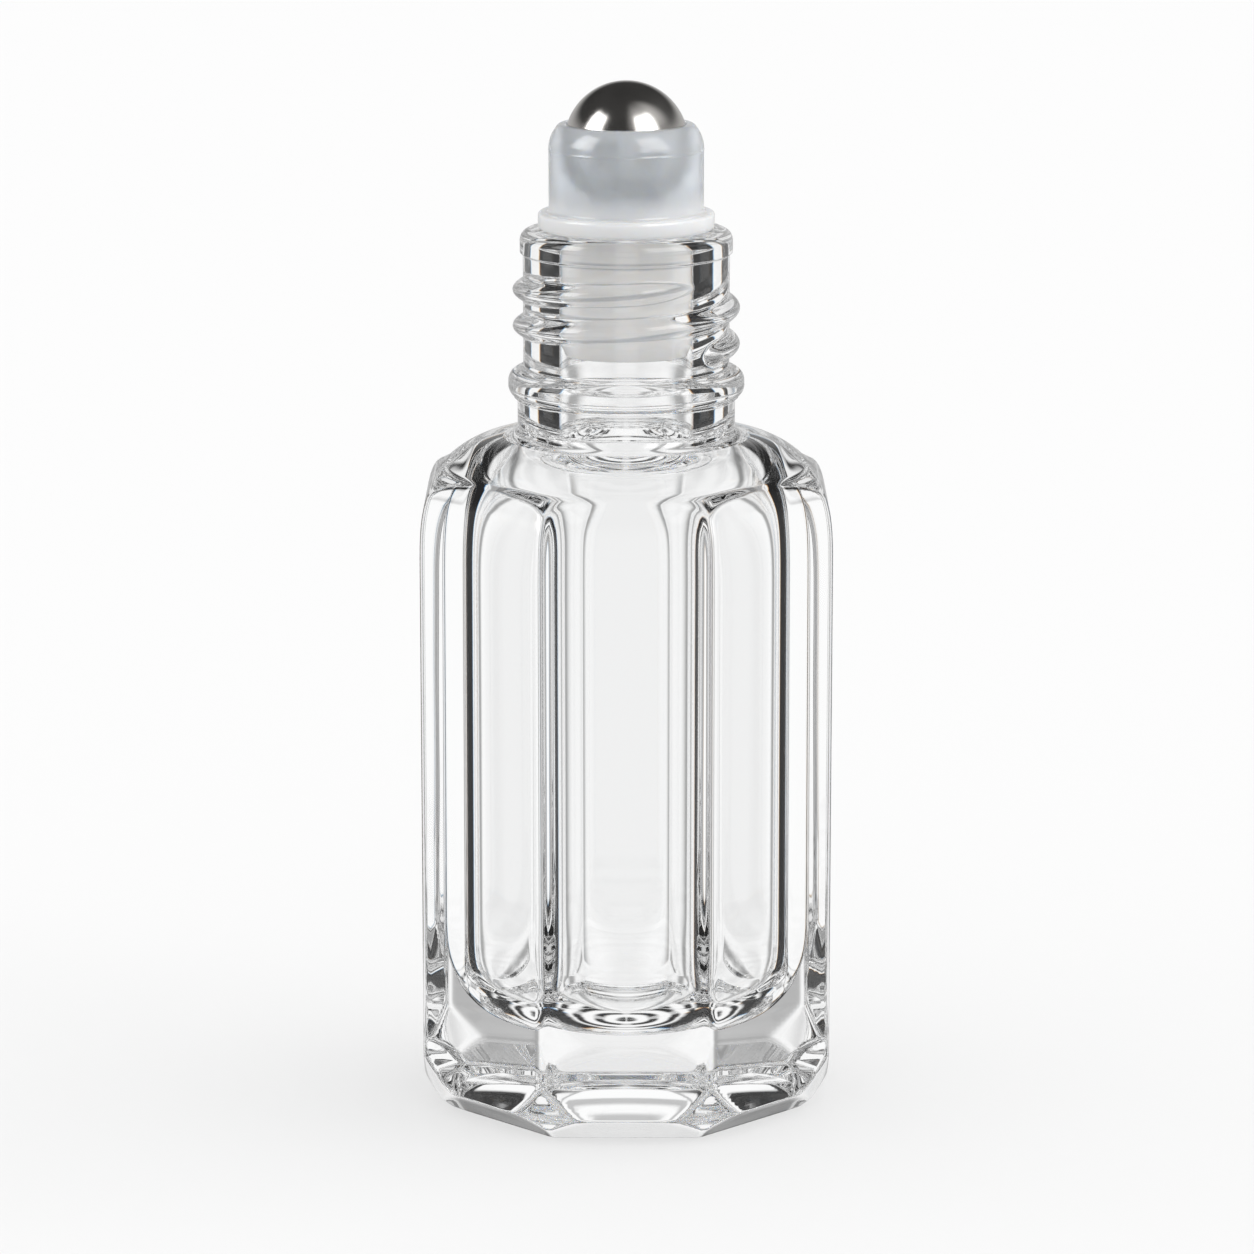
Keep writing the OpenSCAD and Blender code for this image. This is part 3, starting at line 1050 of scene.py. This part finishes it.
    def neck_rings(self) -> list[Ring]:
        """Rings of the neck's outside, its lip and its bore.

        Returns:
            The rings, up the outside and down the bore.
        """
        low, high = self.bead_z - self.bead_h / 2, self.bead_z + self.bead_h / 2
        under, step = self.lip_z - self.lip_h, self.lip_step
        line = rounded([
            (self.neck_foot_r, self.crown_z + self.neck_flare + self.bore_margin, 0),
            (self.neck_foot_r, low, self.bead_foot_round),
            (self.bead_r, low + self.bead_lean, self.bead_round),
            (self.bead_r, high, self.bead_round),
            (self.wall_r, high - self.bead_lean, self.bead_top_round),
            (self.wall_r, under, step), (self.lip_r, under + step, step),
            (self.lip_r, self.lip_z, self.lip_round), (self.bore_r, self.lip_z, self.bore_lip_round),
            (self.bore_r, self.cavity_top + self.bore_mouth_round + self.bore_margin, 0)])
        rings = []
        for (r0, z0), (r1, z1) in zip(line, line[1:]):
            wall = abs(r0 - self.wall_r) + abs(r1 - self.wall_r) < SAME
            for r, z in filled([(r0, z0), (r1, z1)], self.thread_gap if wall else self.neck_gap)[:-1]:
                rings.append(Ring(r, z, thread=1.0 if wall else 0.0))
        return rings

    def inside_rings(self) -> list[Ring]:
        """Rings of the shoulder's inside, the cavity's wall and its floor.

        Returns:
            The rings, from the bore's mouth to the middle of the floor.
        """
        ceiling_r = self.bore_r + self.bore_mouth_round + self.ceiling_flat
        mouth = rounded([
            (self.bore_r, self.lip_z, 0), (self.bore_r, self.cavity_top, self.bore_mouth_round),
            (ceiling_r, self.cavity_top, 0)], self.cavity_turn)
        ceiling = rounded([
            (ceiling_r, self.cavity_top, 0), (self.cavity_r, self.cavity_top, self.ceiling_round),
            (self.cavity_r, self.cavity_top - self.ceiling_round - self.cavity_straight, 0)],
            self.cavity_turn)
        floor = rounded([
            (self.cavity_r, self.floor_z + self.floor_round + self.cavity_straight, 0),
            (self.cavity_r, self.floor_z, self.floor_round), (self.floor_middle, self.floor_z, 0)],
            self.cavity_turn)
        line = mouth[1:-1] + softened(ceiling, self.ceiling_gap, self.ceiling_passes)
        line += softened(floor, self.floor_gap, self.floor_passes) + [(0.0, self.floor_z)]
        rings = []
        for r, z in line:
            flat = self.cavity_flat if z < self.cavity_top + SAME else FAR
            rings.append(Ring(r, z, flat, self.cavity_corner, self.cavity_blend))
        return rings

    def build(self, tree: TurnedSolidTree) -> bpy.types.Object:
        """Builds and dresses the glass.

        Args:
            tree: The shared node tree.

        Returns:
            The finished piece.
        """
        rings = self.foot_rings() + self.body_rings() + self.neck_rings() + self.inside_rings()
        numbers = {
            "Corner Crowding": 0.75,
            "Thread Height": self.thread_h * MM,
            "Thread Wall": self.wall_r * MM,
            "Thread Pitch": self.thread_pitch * MM,
            "Thread Start Height": self.thread_z * MM,
            "Thread Start Angle": math.radians(self.thread_start),
            "Thread Turns": self.thread_turns,
            "Thread Crest": 0.42 * MM,
            "Thread Fillet": 0.12 * MM,
            "Thread Low Fade": 0.05,
            "Thread High Fade": 0.16,
        }
        solid = TurnedSolid("pressed_bottle", rings, self.columns, numbers)
        piece = solid.build(tree, ClearGlass().material())
        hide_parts(Node.GLASS_BOTTLE.value)
        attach(piece, Body.BOTTLE.value)
        return piece


@dataclass
class RollerHousing:
    """The translucent housing: ball cup, flange, and a hollow plug with sealing rings.

    Lengths are in millimetres.

    Args:
        ball_z: Height of the ball's middle.
        socket_r: Radius of the ball's socket.
        socket_spans: Spans of the socket.
        rim_z: Height of the rim.
        rim_round: Round of the rim's outer edge.
        rim_sweep: Wide round from the rim to the cup's wall.
        rim_margin: How far the rim's flat top stands back from the socket.
        rim_spans: Spans of the rim's round.
        sweep_spans: Spans of the wide round.
        seam_z: Height of the moulding seam.
        seam_step: How far the seam stands out.
        seam_h: Height of the seam's slope and of its flat.
        seam_end: How far under its top the seam has ended.
        cup_r: Radius of the cup.
        cup_foot_round: Hollow round between the cup and the flange.
        flange_r: Radius of the flange.
        flange_z: Height of the flange's underside.
        flange_h: Thickness of the flange.
        flange_round: Round of the flange's edges.
        wall_gap: Gap between rings on the cup and the flange.
        well_r: Radius of the well under the ball.
        well_floor: Thickness of its floor over the flange.
        well_round: Hollow round of its floor.
        well_margin: How far under the socket the well's last ring lies.
        feed_r: Radius of the passage that feeds it.
        plug_r: Radius of the plug.
        plug_z: Height of the plug's end.
        plug_wall: Thickness of the plug's wall.
        plug_round: Hollow round under the flange, and round of the passage's edges.
        plug_neck: Length of plain plug under the flange.
        ring_r: Radius of the sealing rings.
        ring_w: Thickness of a ring.
        ring_count: Number of rings.
        ring_margin: Length of plain plug kept beside a ring.
        ring_spans: Spans of a ring.
        taper_h: Length of the plug's tapered end.
        taper_in: How far the end tapers in.
        taper_round: Round where the taper begins.
        tip_round: Round of the plug's end outside.
        tip_bore_round: Round of the plug's end inside.
        end_gap: Distance between the last ring of the outside and the first of the bore.
        groove_depth: Depth of the oil grooves.
        groove_w: Width of a groove.
        groove_foot: How far over the well the grooves begin.
        groove_top: How far under the ball's middle they end.
        columns: Points round each ring.
    """

    ball_z: float = 63.1
    socket_r: float = 4.05
    socket_spans: int = 44
    rim_z: float = 64.35
    rim_round: float = 0.3
    rim_sweep: float = 2.25
    rim_margin: float = 0.06
    rim_spans: int = 6
    sweep_spans: int = 14
    seam_z: float = 62.75
    seam_step: float = 0.018
    seam_h: float = 0.03
    seam_end: float = 0.1
    cup_r: float = 5.0
    cup_foot_round: float = 0.22
    flange_r: float = 5.7
    flange_z: float = 57.57
    flange_h: float = 1.13
    flange_round: float = 0.25
    wall_gap: float = 0.5
    well_r: float = 2.3
    well_floor: float = 0.2
    well_round: float = 0.1
    well_margin: float = 0.02
    feed_r: float = 1.5
    plug_r: float = 4.25
    plug_z: float = 49.57
    plug_wall: float = 0.85
    plug_round: float = 0.08
    plug_neck: float = 0.6
    ring_r: float = 4.33
    ring_w: float = 0.6
    ring_count: int = 3
    ring_margin: float = 0.05
    ring_spans: int = 14
    taper_h: float = 0.9
    taper_in: float = 0.35
    taper_round: float = 0.3
    tip_round: float = 0.15
    tip_bore_round: float = 0.1
    end_gap: float = 0.1
    groove_depth: float = 0.35
    groove_w: float = 0.7
    groove_foot: float = 0.25
    groove_top: float = 0.15
    columns: int = 160

    def cup_line(self) -> Outline:
        """Outline of the rim, the seam, the cup and the flange.

        Returns:
            Its points, from the rim's inner edge to the top of the plug.
        """
        top = self.flange_z + self.flange_h
        inner = math.sqrt(self.socket_r ** 2 - (self.rim_z - self.ball_z) ** 2)
        mid_r = self.cup_r - self.rim_sweep
        hook = self.rim_sweep - self.rim_round
        hook_z = self.rim_z - self.rim_round
        hook_r = mid_r + math.sqrt(hook ** 2 - (hook_z - self.seam_z) ** 2)
        meet = math.degrees(math.atan2(hook_z - self.seam_z, hook_r - mid_r))
        line = [(inner + self.rim_margin, self.rim_z)]
        line += arc(hook_r, hook_z, self.rim_round, 90, meet, self.rim_spans)
        line += arc(mid_r, self.seam_z, self.rim_sweep, meet, 0, self.sweep_spans)[1:]
        seam_r = self.cup_r + self.seam_step
        line += [
            (seam_r, self.seam_z - self.seam_h), (seam_r, self.seam_z - 2 * self.seam_h),
            (self.cup_r, self.seam_z - self.seam_end)]
        return line + filled(rounded([
            (self.cup_r, self.seam_z - 2 * self.seam_end, 0), (self.cup_r, top, self.cup_foot_round),
            (self.flange_r, top, self.flange_round), (self.flange_r, self.flange_z, self.flange_round),
            (self.plug_r, self.flange_z, self.plug_round),
            (self.plug_r, self.flange_z - self.plug_neck, 0)]), self.wall_gap)

    def plug_line(self) -> Outline:
        """Outline of the plug with its sealing rings and its tapered end.

        Returns:
            Its points, down to the edge of the plug's bore.
        """
        line = []
        pitch = (self.flange_z - self.plug_z - self.taper_h) / (self.ring_count + 1)
        ring = self.ring_w / 2
        reach = ring + self.ring_margin
        for i in range(self.ring_count, 0, -1):
            middle = self.plug_z + self.taper_h + i * pitch
            bulge = arc(self.ring_r - ring, middle, ring, 90, -90, self.ring_spans)
            line.append((self.plug_r, middle + reach))
            line += [p for p in bulge if p[0] > self.plug_r]
            line.append((self.plug_r, middle - reach))
        bore = self.plug_r - self.plug_wall
        taper_z = self.plug_z + self.taper_h
        return line + rounded([
            (self.plug_r, taper_z + self.taper_round, 0), (self.plug_r, taper_z, self.taper_round),
            (self.plug_r - self.taper_in, self.plug_z, self.tip_round),
            (bore, self.plug_z, self.tip_bore_round), (bore, self.plug_z + self.taper_round, 0)])

    def inside(self) -> Outline:
        """Outline of the plug's bore, the feed passage and the well.

        Returns:
            Its points, from the plug's end to the socket.
        """
        bore = self.plug_r - self.plug_wall
        floor = self.flange_z + self.flange_h + self.well_floor
        return rounded([
            (bore, self.plug_z + self.taper_round + self.end_gap, 0), (bore, self.flange_z, self.tip_round),
            (self.feed_r, self.flange_z, self.plug_round), (self.feed_r, floor, self.plug_round),
            (self.well_r, floor, self.well_round), (self.well_r, self.seat_z() - self.well_margin, 0)])

    def seat_z(self) -> float:
        """Height at which the well meets the ball's socket."""
        return self.ball_z - math.sqrt(self.socket_r ** 2 - self.well_r ** 2)

    def socket(self) -> list[Ring]:
        """Rings of the ball's socket, with the depth of the oil grooves in its lower half.

        Returns:
            The rings, from the well to the rim.
        """
        low = math.degrees(math.asin((self.seat_z() - self.ball_z) / self.socket_r))
        high = math.degrees(math.asin((self.rim_z - self.ball_z) / self.socket_r))
        foot, top = self.seat_z() + self.groove_foot, self.ball_z - self.groove_top
        rings = []
        for r, z in arc(0.0, self.ball_z, self.socket_r, low, high, self.socket_spans):
            rings.append(Ring(r, z, groove=self.groove_depth if foot < z < top else 0.0))
        return rings

    def build(self, tree: TurnedSolidTree) -> bpy.types.Object:
        """Builds and dresses the housing.

        Args:
            tree: The shared node tree.

        Returns:
            The finished piece.
        """
        line = self.cup_line() + self.plug_line() + self.inside()
        rings = [Ring(r, z) for r, z in line] + self.socket()
        rings.append(rings[0])
        numbers = {"Groove Count": 4.0, "Groove Width": self.groove_w * MM}
        solid = TurnedSolid("roller_fitment", rings, self.columns, numbers)
        piece = solid.build(tree, FrostedPolymer().material())
        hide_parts(Node.ROLLER_HOUSING.value)
        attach(piece, Body.FITMENT.value)
        return piece


@dataclass
class RollerBall:
    """The steel ball.

    Args:
        radius: Radius in millimetres.
        height: Height of its middle in millimetres.
        spans: Spans from its foot to its top.
        columns: Points round each ring.
    """

    radius: float = 4.0
    height: float = 63.1
    spans: int = 64
    columns: int = 128

    def build(self, tree: TurnedSolidTree) -> bpy.types.Object:
        """Builds and dresses the ball.

        Args:
            tree: The shared node tree.

        Returns:
            The finished piece.
        """
        half = arc(0.0, self.height, self.radius, -90, 90, self.spans)
        rings = [Ring(max(0.0, r), z) for r, z in half]
        rings[0].radius = rings[-1].radius = 0.0
        solid = TurnedSolid("steel_ball", rings, self.columns)
        piece = solid.build(tree, PolishedSteel().material())
        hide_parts(Node.ROLLER_BALL.value)
        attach(piece, Body.BALL.value)
        return piece


@dataclass(frozen=True)
class SoftBox:
    """A soft box of the studio, as the steel and the outside of the glass mirror it.

    Args:
        around: Direction of its middle round the bottle, in degrees, 0 being behind it.
        rise: Height of its middle over the horizon, in degrees.
        width: Half of its width in degrees.
        height: Half of its height in degrees.
        soft: Width of its soft edge in degrees.
        strength: Brightness.
    """

    around: float
    rise: float
    width: float
    height: float
    soft: float
    strength: float

    def light(self, around: Value, rise: Value) -> Value:
        """Brightness of the box in a direction.

        Args:
            around: The direction's angle round the bottle, in degrees.
            rise: Its height over the horizon, in degrees.

        Returns:
            The brightness.
        """
        tree = around.tree
        aside = tree.math("WRAP", around - self.around, FULL_TURN / 2, -FULL_TURN / 2)
        aside = tree.math("ABSOLUTE", aside)
        above = tree.math("ABSOLUTE", rise - self.rise)
        lit = tree.smooth_step(aside, self.width + self.soft, self.width)
        return lit * tree.smooth_step(above, self.height + self.soft, self.height) * self.strength


@dataclass(frozen=True)
class Fade:
    """A soft step of the studio's light.

    Args:
        start: Angle or count at which it is 0.
        end: Angle or count from which on it is full.
        amount: Its full height.
    """

    start: float
    end: float
    amount: float = 1.0

    def at(self, value: Value) -> Value:
        """Height of the step there."""
        return value.tree.smooth_step(value, self.start, self.end) * self.amount


@dataclass(frozen=True)
class Window:
    """A soft window of the studio's light, between two steps.

    Args:
        foot: Angle or count up to which it is 0.
        low: First one at which it is full.
        high: Last one at which it is full.
        top: One from which on it is 0 again.
        amount: Its full height.
    """

    foot: float
    low: float
    high: float
    top: float
    amount: float = 1.0

    def at(self, value: Value) -> Value:
        """Height of the window there."""
        return Fade(self.foot, self.low).at(value) * Fade(self.top, self.high).at(value) * self.amount


@dataclass
class Studio:
    """Plain pale floor, soft light from all round, and the camera of the photograph.

    The floor and the housing are lit by the fill light, the steel and the outside of the glass mirror the
    room and its soft boxes, and through the glass a pale card is seen, with dark flags where the light has
    been mirrored inside the glass. Angles are in degrees.

    Args:
        fill: Fill light from everywhere.
        right_fill: More of it from the right.
        left_fill: More of it from the left.
        side_edge: Where that ends, off the middle of its side.
        side_height: Where that lies over the horizon.
        boxes: The soft boxes.
        room: How bright the room is over the horizon.
        room_least: Its least brightness.
        card: Least brightness of the card straight through a flat.
        card_middle: How it brightens off the middle of a flat.
        card_side: How it darkens towards the edge of a flat.
        card_top: How it darkens over the horizon.
        flag_turn: Angle from one upright flag's gap to the next.
        flag_edge: Where the upright flags begin, off the middle of a gap.
        flag_break: Heights at which they are broken.
        flag_reach: Heights up and down to which they reach.
        flag_level: Heights at which light mirrored a few times weakens them.
        flag_often: What counts as a few times.
        stripe_step: Distance between two level stripes.
        stripe_first: Height of one of them.
        stripe_edge: Their soft edge, off the middle.
        stripe_over: Where they begin over the horizon.
        stripe_under: Where they begin under it.
        stripe_ease: How they weaken in front of a flat.
        flag_dark: How dark flags and stripes are.
        deep: Times mirrored after which all is one grey.
        deep_grey: Brightness of that grey.
        fringe: How far the flags are shifted for red and blue.
        floor_size: Half of the floor's width in metres.
        floor_shade: Brightness of the floor's paint.
        lens: Focal length of the camera in millimetres.
        sensor: Width of its sensor in millimetres.
        camera_place: Its place in metres.
        camera_tilt: Its tilt from straight down.
        camera_clip: Nearest and furthest distance that it sees, in metres.
    """

    fill: float = 1.12
    right_fill: float = 1.9
    left_fill: float = 0.45
    side_edge: Fade = Fade(50.0, 25.0)
    side_height: Window = Window(8.0, 18.0, 45.0, 60.0)
    boxes: tuple[SoftBox, ...] = (
        SoftBox(-109.0, 30.0, 14.0, 15.0, 8.0, 4.2),
        SoftBox(135.0, 31.0, 16.0, 15.0, 13.0, 3.8),
        SoftBox(124.0, 48.0, 24.0, 4.0, 36.0, 0.62),
    )
    room: Window = Window(-50.0, -28.0, 6.0, 26.0, 0.52)
    room_least: float = 0.035
    card: float = 0.88
    card_middle: Fade = Fade(1.0, 8.0, 0.1)
    card_side: Fade = Fade(12.0, 21.0, 0.6)
    card_top: Fade = Fade(20.0, 30.0, 0.8)
    flag_turn: float = 90.0
    flag_edge: Fade = Fade(14.0, 20.0)
    flag_break: Window = Window(3.0, 7.0, 17.0, 21.0)
    flag_reach: Window = Window(-50.0, -42.0, 30.0, 34.0)
    flag_level: Window = Window(-22.0, -18.0, -9.0, -6.0, 0.4)
    flag_often: Window = Window(2.5, 3.5, 5.5, 6.5)
    stripe_step: float = 16.0
    stripe_first: float = 22.0
    stripe_edge: Fade = Fade(5.8, 1.4)
    stripe_over: Fade = Fade(18.0, 20.0)
    stripe_under: Fade = Fade(-24.0, -26.0)
    stripe_ease: Fade = Fade(14.0, 4.0, 0.55)
    flag_dark: float = 0.98
    deep: Fade = Fade(5.0, 9.0)
    deep_grey: float = 0.6
    fringe: float = 0.7
    floor_size: float = 6.0
    floor_shade: float = 0.70
    lens: float = 153.6
    sensor: float = 36.0
    camera_place: tuple[float, float, float] = (0.000045, -0.3422, 0.1059)
    camera_tilt: float = 77.7
    camera_clip: tuple[float, float] = (0.01, 50.0)

    def floor(self) -> None:
        """Lays the floor."""
        mesh = bpy.data.meshes.new("studio_floor")
        side = self.floor_size
        corners = [(-side, -side, 0), (side, -side, 0), (side, side, 0), (-side, side, 0)]
        mesh.from_pydata(corners, [], [(0, 1, 2, 3)])
        floor = bpy.data.objects.new("studio_floor", mesh)
        bpy.context.scene.collection.objects.link(floor)
        paint, tree = new_material("pale_floor")
        shade = (self.floor_shade, self.floor_shade, self.floor_shade, 1.0)
        body = tree.node("ShaderNodeBsdfDiffuse", {"Color": shade})
        tree.node("ShaderNodeOutputMaterial", {"Surface": body.outputs[0]})
        mesh.materials.append(paint)
        floor.visible_transmission = False
        floor.visible_glossy = False

    def fill_light(self, around: Value, rise: Value) -> Value:
        """Light on the floor and the housing.

        Args:
            around: Angle round the bottle.
            rise: Height over the horizon.

        Returns:
            The brightness in that direction.
        """
        quarter = FULL_TURN / 4
        right = self.side_edge.at(around.tree.off_nearest(around, FULL_TURN, quarter)) * self.right_fill
        left = self.side_edge.at(around.tree.off_nearest(around, FULL_TURN, -quarter)) * self.left_fill
        return (right + left) * self.side_height.at(rise) + self.fill

    def room_light(self, around: Value, rise: Value) -> Value:
        """What the steel and the outside of the glass mirror.

        Args:
            around: Angle round the bottle.
            rise: Height over the horizon.

        Returns:
            The brightness in that direction.
        """
        room = self.room.at(rise) + self.room_least
        for box in self.boxes:
            room = room + box.light(around, rise)
        return room

    def card_light(self, around: Value, rise: Value) -> Value:
        """What is seen straight through the glass.

        Args:
            around: Angle round the bottle.
            rise: Height over the horizon.

        Returns:
            The brightness in that direction.
        """
        off_flat = around.tree.off_nearest(around, FLAT_TURN)
        card = self.card_middle.at(off_flat) + self.card
        return card - self.card_side.at(off_flat) - self.card_top.at(rise)

    def stripes(self, around: Value, rise: Value) -> Value:
        """The level stripes, high over and deep under the horizon.

        Args:
            around: Angle round the bottle.
            rise: Height over the horizon.

        Returns:
            Their darkness in that direction.
        """
        tree = around.tree
        off_stripe = tree.off_nearest(tree.math("ABSOLUTE", rise), self.stripe_step, self.stripe_first)
        apart = tree.math("MAXIMUM", self.stripe_over.at(rise), self.stripe_under.at(rise))
        ease = self.stripe_ease.at(tree.off_nearest(around, self.flag_turn))
        return self.stripe_edge.at(off_stripe) * apart * (1.0 - ease)

    def flag_strength(self, rise: Value, depth: Value) -> Value:
        """How dark the upright flags are.

        Args:
            rise: Height over the horizon.
            depth: How often the light has been mirrored.

        Returns:
            A number from 0 to 1.
        """
        whole = (1.0 - self.flag_break.at(rise)) * self.flag_reach.at(rise)
        return whole * (1.0 - self.flag_often.at(depth) * self.flag_level.at(rise))

    def surroundings(self) -> None:
        """Paints what the floor, the glass and the steel see round them."""
        world = bpy.data.worlds.new("studio")
        bpy.context.scene.world = world
        world.use_nodes = True
        world.node_tree.nodes.clear()
        tree = Tree(world.node_tree)
        place = tree.node("ShaderNodeTexCoord").outputs["Generated"]
        way = tree.node("ShaderNodeSeparateXYZ", {0: place})
        x, y, z = (Value(tree, way.outputs[axis]) for axis in "XYZ")
        around = tree.math("ARCTAN2", x, y) * math.degrees(1.0)
        rise = tree.math("ARCSINE", z) * math.degrees(1.0)
        path = tree.node("ShaderNodeLightPath").outputs
        mirrored = Value(tree, path["Is Glossy Ray"])
        through = Value(tree, path["Is Transmission Ray"])
        depth = Value(tree, path["Glossy Depth"])
        bounced = tree.math("MINIMUM", depth, 1.0)
        deep = self.deep.at(depth)
        strength = self.flag_strength(rise, depth)
        stripes = self.stripes(around, rise)
        card = self.card_light(around, rise)
        room = self.room_light(around, rise) * mirrored
        fill = self.fill_light(around, rise) * (1.0 - mirrored)
        shades = []
        for spread in (-self.fringe, 0.0, self.fringe):
            off_gap = tree.off_nearest(around, self.flag_turn, spread)
            upright = self.flag_edge.at(off_gap) * strength
            flags = 1.0 - tree.math("MAXIMUM", upright, stripes) * self.flag_dark
            flags = flags + (self.deep_grey - flags) * deep
            seen = card + (flags - card) * bounced
            shades.append(seen * through + (room + fill) * (1.0 - through))
        colour = tree.node("ShaderNodeCombineXYZ", dict(zip("XYZ", shades)))
        light = tree.node("ShaderNodeBackground", {"Color": colour.outputs[0], "Strength": 1.0})
        tree.node("ShaderNodeOutputWorld", {"Surface": light.outputs[0]})

    def camera(self) -> None:
        """Sets up the camera at the photograph's angle."""
        data = bpy.data.cameras.new("camera")
        data.lens = self.lens
        data.sensor_width = self.sensor
        camera = bpy.data.objects.new("camera", data)
        camera.location = self.camera_place
        camera.rotation_euler = (math.radians(self.camera_tilt), 0.0, 0.0)
        data.clip_start, data.clip_end = self.camera_clip
        bpy.context.scene.collection.objects.link(camera)
        bpy.context.scene.camera = camera

    def build(self) -> None:
        """Sets up the whole studio."""
        self.floor()
        self.surroundings()
        self.camera()
        scene = bpy.context.scene
        scene.view_settings.view_transform = "Standard"
        scene.cycles.max_bounces = 24
        scene.cycles.transmission_bounces = 20
        scene.cycles.glossy_bounces = 12
        scene.cycles.transparent_max_bounces = 16
        scene.cycles.use_denoising = True


def main() -> None:
    """Builds the bottle, its fitment and the studio."""
    logging.basicConfig(level=logging.INFO, format="%(name)s: %(message)s")
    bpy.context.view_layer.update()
    tree = TurnedSolidTree()
    for part in (GlassBottle(), RollerHousing(), RollerBall()):
        piece = part.build(tree)
        log.info("built %s", piece.name)
    bpy.data.node_groups.remove(tree.tree)
    Studio().build()
    log.info("studio ready")


if __name__ == "__main__":
    main()
